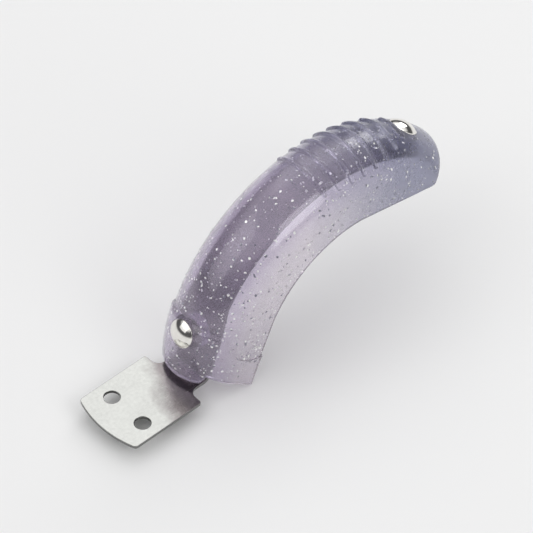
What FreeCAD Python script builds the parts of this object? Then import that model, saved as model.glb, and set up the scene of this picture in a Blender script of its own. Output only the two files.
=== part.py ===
import FreeCAD, Part
import math
import os

# Rear fender brake of a kick scooter. Millimetres.
# The origin is on the underside of the mounting plate, midway between its two screw holes.
# +X runs to the rear of the scooter, +Y to its left and +Z up.
# Stations along the cover are angles about the bend's centre: 0 at the top, positive to the front.

# --- Driving dimensions: steel strip ---
STEEL = 1.5
HOLE_SPACING = 17.4
HOLE_D = 6.5
PLATE_FRONT_X = -9.7
PLATE_BULGE = 2.9
PLATE_REAR_X = 23.2
PLATE_HALF = 16.0
PLATE_CORNER_R = 1.2
NECK_HALF = 8.9
NECK_FILLET_R = 3.5
NECK_START_X = 24.0
BEND_R = 3.0
STRIP_R = 65.6
STRIP_END_ANGLE = -37.0
STRIP_HALF = 9.3
SHOULDER_HALF = 11.2

# --- Driving dimensions: plastic cover ---
ARC_X = 97.4
ARC_Z = -1.9
CROWN_R = 73.0
TUBE_R = 17.0
WALL = 2.0
AXIS_R = CROWN_R - TUBE_R
FRONT_ANGLE = 100.0
TAIL_ANGLE = -48.6
NOSE_LENGTH = 8.1
SKIRT_DEPTH = 36.0
TONGUE_ANGLE = 85.2
TONGUE_HALF = 9.7
NOTCH_HALF = 11.4
TONGUE_CORNER_R = 1.6
NOTCH_X, NOTCH_Z = 29.7, 7.5
FRONT_FOOT_X, FRONT_FOOT_Z = 47.1, -5.6

# --- Driving dimensions: thickened front collar of the cover ---
COLLAR_HALF = 17.5
COLLAR_RISE = 1.3
COLLAR_REAR_ANGLE = 66.5
COLLAR_SHOULDER_R = 66.0
COLLAR_WAIST_X, COLLAR_WAIST_Z = 39.6, 15.0
COLLAR_FOOT_X, COLLAR_FOOT_Z = 53.5, 6.6

# --- Driving dimensions: grip ribs ---
RIB_COUNT = 8
RIB_FIRST_ANGLE = 7.5
RIB_PITCH_ANGLE = 5.5
RIB_R = 1.1
RIB_SINK = 0.15
RIB_LONGEST_HALF_ANGLE = 53.0
RIB_SHORTEST_HALF_ANGLE = 20.0

# --- Driving dimensions: rivets ---
FRONT_RIVET_ANGLE = 70.0
REAR_RIVET_ANGLE = -36.9
SHANK_R = 2.5
HEAD_R = 5.65
HEAD_RIM = 0.5
HEAD_DOME = 2.1
FRONT_SEAT_R = 73.9
REAR_SEAT_R = 72.1
SEAT_CLEARANCE = 0.25
BOSS_R = 6.5
PAD_R = 6.0
WASHER_R = 5.0
WASHER_THICKNESS = 1.0
TAIL_R = 3.6
TAIL_HEIGHT = 1.0

ALONG_Y = FreeCAD.Vector(0, 1, 0)
ALONG_Z = FreeCAD.Vector(0, 0, 1)
ARC_CENTRE = FreeCAD.Vector(ARC_X, 0, ARC_Z)
REACH = 60.0


def station(angle, radius, y=0.0):
    """The point at a station angle and a radius from the bend's centre."""
    turn = math.radians(angle)
    return FreeCAD.Vector(ARC_X - radius * math.sin(turn), y, ARC_Z + radius * math.cos(turn))


def at_station(shape, angle):
    """A shape drawn above the origin, moved so that its Z axis is the station's radius."""
    moved = shape.copy()
    moved.rotate(FreeCAD.Vector(0, 0, 0), ALONG_Y, -angle)
    moved.translate(ARC_CENTRE)
    return moved


def side_prism(edges, half_width):
    """A closed outline in the XZ plane, thickened evenly to both sides of the centre plane."""
    face = Part.Face(Part.Wire(edges))
    face.translate(FreeCAD.Vector(0, -half_width, 0))
    return face.extrude(FreeCAD.Vector(0, 2 * half_width, 0))


def closed_lines(points):
    """Straight edges through the points and back to the first."""
    return [Part.makeLine(a, b) for a, b in zip(points, points[1:] + points[:1])]


def arc(first, middle, last):
    return Part.Arc(first, middle, last).toShape()


def arc_cylinder(radius):
    """A cylinder about the bend's axis."""
    return Part.makeCylinder(radius, 2 * REACH, FreeCAD.Vector(ARC_X, -REACH, ARC_Z), ALONG_Y)


# --- Cover ---
def cover_section(half_width, axis_r):
    """The cover's outline across the bend: half a circle over two straight skirts."""
    low = axis_r - SKIRT_DEPTH

    def point(y, radius):
        return FreeCAD.Vector(0, y, radius)

    edges = [
        arc(point(-half_width, axis_r), point(0, axis_r + half_width), point(half_width, axis_r)),
        Part.makeLine(point(half_width, axis_r), point(half_width, low)),
        Part.makeLine(point(half_width, low), point(-half_width, low)),
        Part.makeLine(point(-half_width, low), point(-half_width, axis_r)),
    ]
    return Part.Face(Part.Wire(edges))


def cover_body(half_width, nose_length):
    """A filled cover: the section swept along the bend, closed at the tail by a rounded nose."""
    tube = at_station(cover_section(half_width, AXIS_R), FRONT_ANGLE)
    tube = tube.revolve(ARC_CENTRE, ALONG_Y, FRONT_ANGLE - TAIL_ANGLE)
    ball = Part.makeSphere(half_width)
    drum = Part.makeCylinder(half_width, SKIRT_DEPTH, FreeCAD.Vector(0, 0, -SKIRT_DEPTH))
    rear_half = Part.makeBox(REACH, 2 * REACH, 2 * REACH, FreeCAD.Vector(0, -REACH, -REACH))
    nose = ball.fuse(drum).common(rear_half)
    flatten = FreeCAD.Matrix()
    flatten.scale(nose_length / half_width, 1, 1)
    nose = nose.transformGeometry(flatten)
    nose.translate(FreeCAD.Vector(0, 0, AXIS_R))
    return tube.fuse(at_station(nose, TAIL_ANGLE))


def skirt_limits():
    """The side-view region that the cover keeps: behind the front cut and above the lower edge."""
    slope = (FRONT_FOOT_Z - NOTCH_Z) / (FRONT_FOOT_X - NOTCH_X)
    front_top = FreeCAD.Vector(NOTCH_X - 20, 0, NOTCH_Z - 20 * slope)
    foot = FreeCAD.Vector(FRONT_FOOT_X, 0, FRONT_FOOT_Z)
    knee = FreeCAD.Vector(58.3, 0, 18.9)
    waist = FreeCAD.Vector(76.0, 0, 38.0)
    crest = FreeCAD.Vector(104.0, 0, 43.9)
    tail = FreeCAD.Vector(165.0, 0, 31.5)
    tail_top = FreeCAD.Vector(165.0, 0, 90.0)
    ceiling = FreeCAD.Vector(front_top.x, 0, 90.0)
    edges = [
        Part.makeLine(front_top, foot),
        Part.makeLine(foot, knee),
        arc(knee, waist, crest),
        Part.makeLine(crest, tail),
        Part.makeLine(tail, tail_top),
        Part.makeLine(tail_top, ceiling),
        Part.makeLine(ceiling, front_top),
    ]
    return side_prism(edges, REACH)


def tongue_limits():
    """The front-view region of the tongue, which reaches past the skirts at the crown's front."""
    low = station(TONGUE_ANGLE, CROWN_R).z
    corners = [
        FreeCAD.Vector(15, -TONGUE_HALF, low),
        FreeCAD.Vector(15, TONGUE_HALF, low),
        FreeCAD.Vector(15, NOTCH_HALF, NOTCH_Z),
        FreeCAD.Vector(15, NOTCH_HALF, NOTCH_Z + 12),
        FreeCAD.Vector(15, -NOTCH_HALF, NOTCH_Z + 12),
        FreeCAD.Vector(15, -NOTCH_HALF, NOTCH_Z),
    ]
    prism = Part.Face(Part.Wire(closed_lines(corners))).extrude(FreeCAD.Vector(25, 0, 0))
    lowest = [
        edge for edge in prism.Edges
        if edge.BoundBox.ZMax < low + 0.01 and edge.BoundBox.XLength > 20
    ]
    return prism.makeFillet(TONGUE_CORNER_R, lowest)


def collar():
    """The thickened front of the cover, over the crown and both skirts."""
    axis_r = CROWN_R + COLLAR_RISE - COLLAR_HALF
    body = at_station(cover_section(COLLAR_HALF, axis_r), FRONT_ANGLE)
    body = body.revolve(ARC_CENTRE, ALONG_Y, FRONT_ANGLE - COLLAR_REAR_ANGLE + 10)
    rear_top = station(COLLAR_REAR_ANGLE, CROWN_R + 5)
    shoulder = station(COLLAR_REAR_ANGLE, COLLAR_SHOULDER_R)
    waist = FreeCAD.Vector(COLLAR_WAIST_X, 0, COLLAR_WAIST_Z)
    foot = FreeCAD.Vector(COLLAR_FOOT_X, 0, COLLAR_FOOT_Z)
    low_rear = FreeCAD.Vector(COLLAR_FOOT_X, 0, -10)
    low_front = FreeCAD.Vector(15, 0, -10)
    top_front = FreeCAD.Vector(15, 0, rear_top.z)
    edges = [
        Part.makeLine(rear_top, shoulder),
        arc(shoulder, waist, foot),
        Part.makeLine(foot, low_rear),
        Part.makeLine(low_rear, low_front),
        Part.makeLine(low_front, top_front),
        Part.makeLine(top_front, rear_top),
    ]
    return body.common(side_prism(edges, REACH))


def rib_half_angle(index):
    """Half the angle that a rib spans over the crown: the longest are near the middle of the row."""
    along = (index - 2.6) / (RIB_COUNT - 1 - 2.6)
    if along < 0:
        along *= 0.75
    return RIB_LONGEST_HALF_ANGLE - (RIB_LONGEST_HALF_ANGLE - RIB_SHORTEST_HALF_ANGLE) * along ** 2


def grip_rib(index):
    """A round bar sunk in the crown, following its curve across, with rounded ends."""
    half = rib_half_angle(index)
    middle = FreeCAD.Vector(0, 0, AXIS_R)
    reach = TUBE_R - RIB_SINK
    pieces = []
    for side in (-1, 1):
        end = FreeCAD.Vector(0, side * reach, 0)
        end = FreeCAD.Rotation(FreeCAD.Vector(1, 0, 0), side * (90 - half)).multVec(end) + middle
        pieces.append(Part.makeSphere(RIB_R, end))
    bar = Part.Face(Part.Wire(Part.makeCircle(RIB_R, FreeCAD.Vector(0, 0, AXIS_R + reach), ALONG_Y)))
    bar.rotate(middle, FreeCAD.Vector(1, 0, 0), -half)
    bar = bar.revolve(middle, FreeCAD.Vector(1, 0, 0), 2 * half)
    rib = bar.multiFuse(pieces)
    return at_station(rib, RIB_FIRST_ANGLE - index * RIB_PITCH_ANGLE)


def rivet_boss(angle):
    """The moulded post under the crown that the strip is riveted against."""
    top = REAR_SEAT_R
    post = Part.makeCylinder(BOSS_R, top - STRIP_R + 1, FreeCAD.Vector(0, 0, STRIP_R - 1))
    return at_station(post, angle).cut(arc_cylinder(STRIP_R))


def rivet_pad():
    """The low round pad that carries the front rivet's head level with the collar."""
    pad = Part.makeCylinder(PAD_R, FRONT_SEAT_R - REAR_SEAT_R, FreeCAD.Vector(0, 0, REAR_SEAT_R))
    return at_station(pad, FRONT_RIVET_ANGLE)


def rivet_seat(angle, seat_r):
    """The flat recess under a rivet's head, with the shank's hole below it."""
    seat = Part.makeCylinder(HEAD_R + SEAT_CLEARANCE, 5, FreeCAD.Vector(0, 0, seat_r))
    hole = Part.makeCylinder(SHANK_R, 20, FreeCAD.Vector(0, 0, STRIP_R - 5))
    return at_station(seat.fuse(hole), angle)


def make_cover():
    outer = cover_body(TUBE_R, NOSE_LENGTH)
    inner = cover_body(TUBE_R - WALL, NOSE_LENGTH - WALL)
    keep = skirt_limits()
    shell = outer.fuse(collar()).cut(inner)
    cover = shell.common(keep.fuse(tongue_limits()))
    bosses = [rivet_boss(FRONT_RIVET_ANGLE), rivet_boss(REAR_RIVET_ANGLE), rivet_pad()]
    cover = cover.multiFuse(bosses)
    cover = cover.multiFuse([grip_rib(index) for index in range(RIB_COUNT)])
    cover = cover.cut(rivet_seat(FRONT_RIVET_ANGLE, FRONT_SEAT_R))
    cover = cover.cut(rivet_seat(REAR_RIVET_ANGLE, REAR_SEAT_R))
    return cover.removeSplitter()


# --- Steel strip ---
def flat_blank():
    """The flat front end of the strip: the plate with its holes, narrowing to the neck."""
    front = PLATE_FRONT_X
    rear = PLATE_REAR_X
    side = PLATE_HALF
    fillet_x = rear + NECK_FILLET_R
    fillet_y = NECK_HALF + NECK_FILLET_R
    diagonal = NECK_FILLET_R * math.sqrt(0.5)
    end = bend_centre().x

    def point(x, y):
        return FreeCAD.Vector(x, y, 0)

    edges = [arc(point(front, side), point(front - PLATE_BULGE, 0), point(front, -side))]
    for turn in (-1, 1):
        outline = [
            Part.makeLine(point(front, turn * side), point(rear, turn * side)),
            Part.makeLine(point(rear, turn * side), point(rear, turn * fillet_y)),
            arc(
                point(rear, turn * fillet_y),
                point(fillet_x - diagonal, turn * (fillet_y - diagonal)),
                point(fillet_x, turn * NECK_HALF),
            ),
            Part.makeLine(point(fillet_x, turn * NECK_HALF), point(end, turn * NECK_HALF)),
        ]
        edges.extend(outline)
    edges.append(Part.makeLine(point(end, -NECK_HALF), point(end, NECK_HALF)))
    blank = Part.Face(Part.Wire(Part.__sortEdges__(edges))).extrude(FreeCAD.Vector(0, 0, STEEL))
    corners = [
        edge for edge in blank.Edges
        if edge.BoundBox.ZLength > 0.9 * STEEL and abs(edge.BoundBox.YMax) > side - 0.1
        or edge.BoundBox.ZLength > 0.9 * STEEL and abs(edge.BoundBox.YMin) > side - 0.1
    ]
    blank = blank.makeFillet(PLATE_CORNER_R, corners)
    for turn in (-1, 1):
        centre = FreeCAD.Vector(0, turn * HOLE_SPACING / 2, 0)
        blank = blank.cut(Part.makeCylinder(HOLE_D / 2, STEEL, centre))
    return blank


def bend_centre():
    """The centre of the bend where the strip turns up from the plate."""
    height = STEEL + BEND_R
    reach = STRIP_R + BEND_R
    rise = height - ARC_Z
    return FreeCAD.Vector(ARC_X - math.sqrt(reach ** 2 - rise ** 2), 0, height)


def x_between(shape, low, high):
    """The part of a shape between two X positions."""
    slab = Part.makeBox(high - low, 2 * REACH, 2 * REACH, FreeCAD.Vector(low, -REACH, -REACH))
    return shape.common(slab)


def make_mounting_plate():
    return x_between(flat_blank(), PLATE_FRONT_X - PLATE_BULGE - 1, NECK_START_X)


def make_flex_neck():
    return x_between(flat_blank(), NECK_START_X, bend_centre().x)


def strip_side(end_angle):
    """The strip seen from the side: up round the bend, then along the inside of the cover."""
    centre = bend_centre()
    under_r = STRIP_R - STEEL
    join = math.degrees(math.atan2(ARC_X - centre.x, centre.z - ARC_Z))
    turn = math.radians(0.5 * (90 + (90 - join)))

    def on_bend(radius):
        return centre + FreeCAD.Vector(radius * math.sin(turn), 0, -radius * math.cos(turn))

    low_top = FreeCAD.Vector(centre.x, 0, STEEL)
    low_under = FreeCAD.Vector(centre.x, 0, 0)
    middle = 0.5 * (join + end_angle)
    return [
        arc(low_top, on_bend(BEND_R), station(join, STRIP_R)),
        arc(station(join, STRIP_R), station(middle, STRIP_R), station(end_angle, STRIP_R)),
        Part.makeLine(station(end_angle, STRIP_R), station(end_angle, under_r)),
        arc(station(end_angle, under_r), station(middle, under_r), station(join, under_r)),
        arc(station(join, under_r), on_bend(BEND_R + STEEL), low_under),
        Part.makeLine(low_under, low_top),
    ]


def strip_width():
    """The strip seen from the front: it widens above the neck and narrows again up the cover."""
    half_widths = [
        (-2.0, NECK_HALF), (STEEL, NECK_HALF), (4.5, 9.9), (15.0, 10.8), (20.0, SHOULDER_HALF),
        (24.0, SHOULDER_HALF), (34.0, STRIP_HALF), (75.0, STRIP_HALF),
    ]
    left = [FreeCAD.Vector(20, half, z) for z, half in half_widths]
    right = [FreeCAD.Vector(20, -half, z) for z, half in reversed(half_widths)]
    return Part.Face(Part.Wire(closed_lines(left + right))).extrude(FreeCAD.Vector(140, 0, 0))


def make_brake_strip():
    run = side_prism(strip_side(REAR_RIVET_ANGLE), REACH / 2).common(strip_width())
    ring = arc_cylinder(STRIP_R).cut(arc_cylinder(STRIP_R - STEEL))
    rear_end = Part.makeCylinder(STRIP_HALF, 20, FreeCAD.Vector(0, 0, STRIP_R - 12))
    strip = run.fuse(at_station(rear_end, REAR_RIVET_ANGLE).common(ring))
    for angle in (FRONT_RIVET_ANGLE, REAR_RIVET_ANGLE):
        hole = Part.makeCylinder(SHANK_R, 20, FreeCAD.Vector(0, 0, STRIP_R - 12))
        strip = strip.cut(at_station(hole, angle))
    return strip.removeSplitter()


# --- Rivets ---
def washer_top():
    """The washer's height at a rivet, just low enough for its edge to meet the curved strip."""
    under_r = STRIP_R - STEEL
    return math.sqrt(under_r ** 2 - WASHER_R ** 2)


def make_rivet(angle, seat):
    """A rivet with a domed head above, its shank through cover and strip, and an upset tail."""
    rim = seat + HEAD_RIM
    top = rim + HEAD_DOME
    dome_r = (HEAD_R ** 2 + HEAD_DOME ** 2) / (2 * HEAD_DOME)
    lean = 0.5 * math.asin(HEAD_R / dome_r)
    tail_top = washer_top() - WASHER_THICKNESS
    tail_low = tail_top - TAIL_HEIGHT

    def point(r, z):
        return FreeCAD.Vector(r, 0, z)

    shoulder = point(dome_r * math.sin(lean), top - dome_r * (1 - math.cos(lean)))
    edges = [
        arc(point(0, top), shoulder, point(HEAD_R, rim)),
        Part.makeLine(point(HEAD_R, rim), point(HEAD_R, seat)),
        Part.makeLine(point(HEAD_R, seat), point(SHANK_R, seat)),
        Part.makeLine(point(SHANK_R, seat), point(SHANK_R, tail_top)),
        Part.makeLine(point(SHANK_R, tail_top), point(TAIL_R, tail_top)),
        arc(
            point(TAIL_R, tail_top),
            point(0.8 * TAIL_R, tail_top - 0.75 * TAIL_HEIGHT),
            point(0.5 * TAIL_R, tail_low),
        ),
        Part.makeLine(point(0.5 * TAIL_R, tail_low), point(0, tail_low)),
        Part.makeLine(point(0, tail_low), point(0, top)),
    ]
    rivet = Part.Face(Part.Wire(edges)).revolve(FreeCAD.Vector(0, 0, 0), ALONG_Z, 360)
    return at_station(rivet, angle)


def make_washer(angle):
    low = FreeCAD.Vector(0, 0, washer_top() - WASHER_THICKNESS)
    ring = Part.makeCylinder(WASHER_R, WASHER_THICKNESS, low)
    ring = ring.cut(Part.makeCylinder(SHANK_R, WASHER_THICKNESS, low))
    return at_station(ring, angle)


parts = {
    "mounting_plate": make_mounting_plate(),
    "flex_neck": make_flex_neck(),
    "brake_strip": make_brake_strip(),
    "fender_cover": make_cover(),
    "front_rivet": make_rivet(FRONT_RIVET_ANGLE, FRONT_SEAT_R),
    "front_rivet_washer": make_washer(FRONT_RIVET_ANGLE),
    "rear_rivet": make_rivet(REAR_RIVET_ANGLE, REAR_SEAT_R),
    "rear_rivet_washer": make_washer(REAR_RIVET_ANGLE),
}

os.makedirs("parts", exist_ok=True)
for name, shape in parts.items():
    if not shape.isValid() or shape.Volume <= 0 or len(shape.Solids) != 1:
        raise ValueError(f"{name} isn't one valid solid")
    shape.exportStep(f"parts/{name}.step")
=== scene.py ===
import math
import random

import bmesh
import bpy
from mathutils import Matrix, Vector


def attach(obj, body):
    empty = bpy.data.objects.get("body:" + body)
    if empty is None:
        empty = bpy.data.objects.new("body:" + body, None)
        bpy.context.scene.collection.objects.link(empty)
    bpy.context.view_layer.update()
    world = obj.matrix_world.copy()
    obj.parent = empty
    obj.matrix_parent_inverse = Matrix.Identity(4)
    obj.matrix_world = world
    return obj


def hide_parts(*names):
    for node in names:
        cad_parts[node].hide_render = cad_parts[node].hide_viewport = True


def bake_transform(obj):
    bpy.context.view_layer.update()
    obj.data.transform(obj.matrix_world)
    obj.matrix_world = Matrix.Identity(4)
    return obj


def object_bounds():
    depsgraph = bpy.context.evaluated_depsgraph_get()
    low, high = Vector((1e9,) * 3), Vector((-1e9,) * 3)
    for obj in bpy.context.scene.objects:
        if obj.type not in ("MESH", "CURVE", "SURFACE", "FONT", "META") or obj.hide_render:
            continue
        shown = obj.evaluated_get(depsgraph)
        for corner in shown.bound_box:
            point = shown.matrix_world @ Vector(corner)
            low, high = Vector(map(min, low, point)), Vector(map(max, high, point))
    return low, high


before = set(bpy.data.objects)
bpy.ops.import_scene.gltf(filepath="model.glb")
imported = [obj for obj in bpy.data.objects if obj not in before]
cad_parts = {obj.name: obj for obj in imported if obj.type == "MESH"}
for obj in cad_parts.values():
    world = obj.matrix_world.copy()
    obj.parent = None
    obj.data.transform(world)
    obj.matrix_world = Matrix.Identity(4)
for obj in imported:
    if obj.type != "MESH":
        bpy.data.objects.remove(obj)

bl_info = {
    "name": "Scooter Fender Brake",
    "version": (1, 0, 0),
    "blender": (4, 5, 0),
    "location": "3D View > Sidebar > Fender Brake",
    "description": "Builds a kick scooter's rear fender brake around its packed CAD frame",
    "category": "Add Mesh",
}

# Shapes are worked out in millimetres and scaled to metres when a piece is finished.
# Stations are angles about the bend's centre: 0 at the top, positive to the front.
# Girth is the distance across the cover from the crown's centre line, positive to the left.
MM = 0.001
ARC_X, ARC_Z = 97.4, -1.9
TAIL_ANGLE = -48.6
FRONT_RIVET_ANGLE = 70.0
REAR_RIVET_ANGLE = -36.9
STRIP_TOP_R = 65.6
SHANK_R = 2.5
WASHER_R = 5.0
VIEW_TARGET = Vector((0.07065, 0, 0.02907))
VIEW_BACK = Vector((-0.4588, -0.5020, 0.7332)).normalized()
VIEW_RIGHT = Vector((0.7382, -0.6746, 0)).normalized()
VIEW_DISTANCE = 1.8839

CAD_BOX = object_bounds()


# --- Sizes and colours ---
class CoverSettings(bpy.types.PropertyGroup):
    tube_radius: bpy.props.FloatProperty(
        name="Tube Radius", description="Outer radius of the cover across the bend",
        default=0.017, min=0.01, max=0.03, unit="LENGTH", precision=4)
    crown_radius: bpy.props.FloatProperty(
        name="Crown Radius", description="Radius of the cover's crown about the bend's centre",
        default=0.073, min=0.05, max=0.1, unit="LENGTH", precision=4)
    wall: bpy.props.FloatProperty(
        name="Wall", description="Thickness of the plastic wall",
        default=0.002, min=0.001, max=0.003, unit="LENGTH", precision=4)
    nose_length: bpy.props.FloatProperty(
        name="Nose Length", description="Length of the rounded tail beyond the bend",
        default=0.0081, min=0.004, max=0.015, unit="LENGTH", precision=4)
    rim_rounding: bpy.props.FloatProperty(
        name="Rim Rounding", description="Radius moulded along the cover's edges",
        default=0.0003, min=0.0001, max=0.0005, unit="LENGTH", precision=4)
    rib_count: bpy.props.IntProperty(
        name="Ribs", description="Number of grip ribs across the crown", default=8, min=1, max=8)
    rib_radius: bpy.props.FloatProperty(
        name="Rib Radius", description="Radius of a grip rib's bar",
        default=0.0011, min=0.0005, max=0.0015, unit="LENGTH", precision=4)
    flake_count: bpy.props.IntProperty(
        name="Flakes", description="Number of glitter flakes in the plastic",
        default=1650, min=0, max=4000)
    flake_radius: bpy.props.FloatProperty(
        name="Flake Radius", description="Radius of the largest glitter flakes",
        default=0.0007, min=0.0001, max=0.001, unit="LENGTH", precision=5)
    skirt_tint: bpy.props.FloatVectorProperty(
        name="Skirt Tint", description="Colour of the translucent plastic in the thin skirts",
        subtype="COLOR", size=3, min=0, max=1, default=(0.785, 0.735, 0.80))
    # Painted shade: the crown's darker colour stands in for the shade over the top of the cover.
    crown_shade_tint: bpy.props.FloatVectorProperty(
        name="Crown Shade", description="Painted shade: darker colour over the crown",
        subtype="COLOR", size=3, min=0, max=1, default=(0.645, 0.585, 0.72))
    tail_tint: bpy.props.FloatVectorProperty(
        name="Tail Tint", description="Cooler colour of the plastic towards the tail",
        subtype="COLOR", size=3, min=0, max=1, default=(0.315, 0.32, 0.44))


class SteelSettings(bpy.types.PropertyGroup):
    thickness: bpy.props.FloatProperty(
        name="Thickness", description="Thickness of the spring steel",
        default=0.0015, min=0.001, max=0.003, unit="LENGTH", precision=4)
    hole_diameter: bpy.props.FloatProperty(
        name="Screw Hole", description="Diameter of the two deck screw holes",
        default=0.0065, min=0.004, max=0.008, unit="LENGTH", precision=4)
    hole_spacing: bpy.props.FloatProperty(
        name="Hole Spacing", description="Distance between the two deck screw holes",
        default=0.0174, min=0.012, max=0.024, unit="LENGTH", precision=4)
    edge_rounding: bpy.props.FloatProperty(
        name="Edge Rounding", description="Radius left by tumbling on the stamping's edges",
        default=0.00022, min=0.0001, max=0.0005, unit="LENGTH", precision=5)
    colour: bpy.props.FloatVectorProperty(
        name="Steel Colour", description="Colour of the satin stainless steel",
        subtype="COLOR", size=3, min=0, max=1, default=(0.52, 0.525, 0.505))


class RivetSettings(bpy.types.PropertyGroup):
    head_radius: bpy.props.FloatProperty(
        name="Head Radius", description="Radius of a rivet's domed head",
        default=0.00565, min=0.004, max=0.007, unit="LENGTH", precision=5)
    head_rim: bpy.props.FloatProperty(
        name="Head Rim", description="Height of the straight rim under the dome",
        default=0.0005, min=0.0002, max=0.001, unit="LENGTH", precision=5)
    head_dome: bpy.props.FloatProperty(
        name="Head Dome", description="Height of the dome over its rim",
        default=0.0021, min=0.001, max=0.003, unit="LENGTH", precision=5)
    front_seat: bpy.props.FloatProperty(
        name="Front Seat", description="Radius of the front head's seat about the bend's centre",
        default=0.0739, min=0.07, max=0.075, unit="LENGTH", precision=5)
    rear_seat: bpy.props.FloatProperty(
        name="Rear Seat", description="Radius of the rear head's seat about the bend's centre",
        default=0.0721, min=0.07, max=0.075, unit="LENGTH", precision=5)
    colour: bpy.props.FloatVectorProperty(
        name="Rivet Colour", description="Colour of the polished nickel plating",
        subtype="COLOR", size=3, min=0, max=1, default=(0.86, 0.84, 0.80))


class StageSettings(bpy.types.PropertyGroup):
    floor_colour: bpy.props.FloatVectorProperty(
        name="Floor Colour", description="Colour of the plain floor",
        subtype="COLOR", size=3, min=0, max=1, default=(0.83, 0.83, 0.83))
    key_power: bpy.props.FloatProperty(
        name="Key Light", description="Power of the large softbox", default=4.3, min=0, unit="POWER")
    fill_power: bpy.props.FloatProperty(
        name="Fill Light", description="Power of the fill light", default=3.5, min=0, unit="POWER")
    surround: bpy.props.FloatProperty(
        name="Surround", description="Brightness of the white room around the object",
        default=0.93, min=0, max=2)
    lens: bpy.props.FloatProperty(
        name="Lens", description="Focal length of the camera",
        default=337.7, min=50, max=1000, unit="CAMERA")


# --- Helpers ---
def station(angle, radius, y=0.0):
    """The point at a station angle and a radius from the bend's centre."""
    turn = math.radians(angle)
    return Vector((ARC_X - radius * math.sin(turn), y, ARC_Z + radius * math.cos(turn)))


def at_station(angle):
    """The matrix that takes a shape drawn above the origin to a station."""
    return Matrix.Translation((ARC_X, 0, ARC_Z)) @ Matrix.Rotation(math.radians(-angle), 4, "Y")


def mix(low, high, share):
    return low + (high - low) * share


def crossing(sign, low, high):
    """The value between two limits where a falling sign changes, by halving."""
    for _ in range(44):
        middle = 0.5 * (low + high)
        if sign(middle) > 0:
            low = middle
        else:
            high = middle
    return 0.5 * (low + high)


def object_from(bm, name, scale=MM):
    """A mesh object made from a bmesh, scaled to metres, with its place in its mesh."""
    bmesh.ops.scale(bm, vec=(scale,) * 3, verts=bm.verts)
    mesh = bpy.data.meshes.new(name)
    bm.to_mesh(mesh)
    bm.free()
    piece = bpy.data.objects.new(name, mesh)
    bpy.context.scene.collection.objects.link(piece)
    return piece


def apply_modifiers(piece):
    """Bakes the piece's modifiers into its mesh."""
    graph = bpy.context.evaluated_depsgraph_get()
    mesh = bpy.data.meshes.new_from_object(piece.evaluated_get(graph))
    old = piece.data
    piece.modifiers.clear()
    piece.data = mesh
    bpy.data.meshes.remove(old)
    mesh.name = piece.name


def combine(piece, tool, operation):
    """Cuts or joins a closed tool shape, which is then removed."""
    modifier = piece.modifiers.new("combine", "BOOLEAN")
    modifier.operation = operation
    modifier.solver = "EXACT"
    modifier.object = tool
    apply_modifiers(piece)
    mesh = tool.data
    bpy.data.objects.remove(tool)
    bpy.data.meshes.remove(mesh)


def shade(piece, angle=38.0):
    """Smooth shading with sharp edges kept past an angle, and flat faces kept flat."""
    mesh = piece.data
    mesh.polygons.foreach_set("use_smooth", [True] * len(mesh.polygons))
    mesh.set_sharp_from_angle(angle=math.radians(angle))
    weighted = piece.modifiers.new("weighted", "WEIGHTED_NORMAL")
    weighted.keep_sharp = True
    weighted.weight = 60
    apply_modifiers(piece)


def finish_piece(piece, body, slot, *nodes):
    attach(piece, body)
    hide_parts(*nodes)


def add_drum(bm, radius, low, high, angle, segments=64):
    """Adds a closed drum standing on a station's radius."""
    place = at_station(angle) @ Matrix.Translation((0, 0, 0.5 * (low + high)))
    bmesh.ops.create_cone(
        bm, cap_ends=True, segments=segments, radius1=radius, radius2=radius,
        depth=high - low, matrix=place)


def lathe(profile, steps=96):
    """A closed round shape from a profile of (radius, height) points that starts and ends on the axis."""
    bm = bmesh.new()
    verts = [bm.verts.new((radius, 0, height)) for radius, height in profile]
    edges = [bm.edges.new(pair) for pair in zip(verts, verts[1:])]
    bmesh.ops.spin(
        bm, geom=verts + edges, cent=(0, 0, 0), axis=(0, 0, 1), dvec=(0, 0, 0),
        angle=2 * math.pi, steps=steps, use_merge=True, use_duplicate=False)
    bmesh.ops.remove_doubles(bm, verts=bm.verts, dist=1e-4)
    bmesh.ops.recalc_face_normals(bm, faces=bm.faces)
    return bm


def round_arc(centre, radius, start, end, count):
    """Profile points along an arc, with angles in degrees from the radius direction."""
    points = []
    for index in range(count + 1):
        turn = math.radians(mix(start, end, index / count))
        points.append((centre[0] + radius * math.cos(turn), centre[1] + radius * math.sin(turn)))
    return points


# --- Cover form ---
def circle_through(a, b, c):
    """The centre and radius of the circle through three points."""
    twice = 2 * (a.x * (b.y - c.y) + b.x * (c.y - a.y) + c.x * (a.y - b.y))
    x = (a.dot(a) * (b.y - c.y) + b.dot(b) * (c.y - a.y) + c.dot(c) * (a.y - b.y)) / twice
    y = (a.dot(a) * (c.x - b.x) + b.dot(b) * (a.x - c.x) + c.dot(c) * (b.x - a.x)) / twice
    centre = Vector((x, y))
    return centre, (a - centre).length


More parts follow.
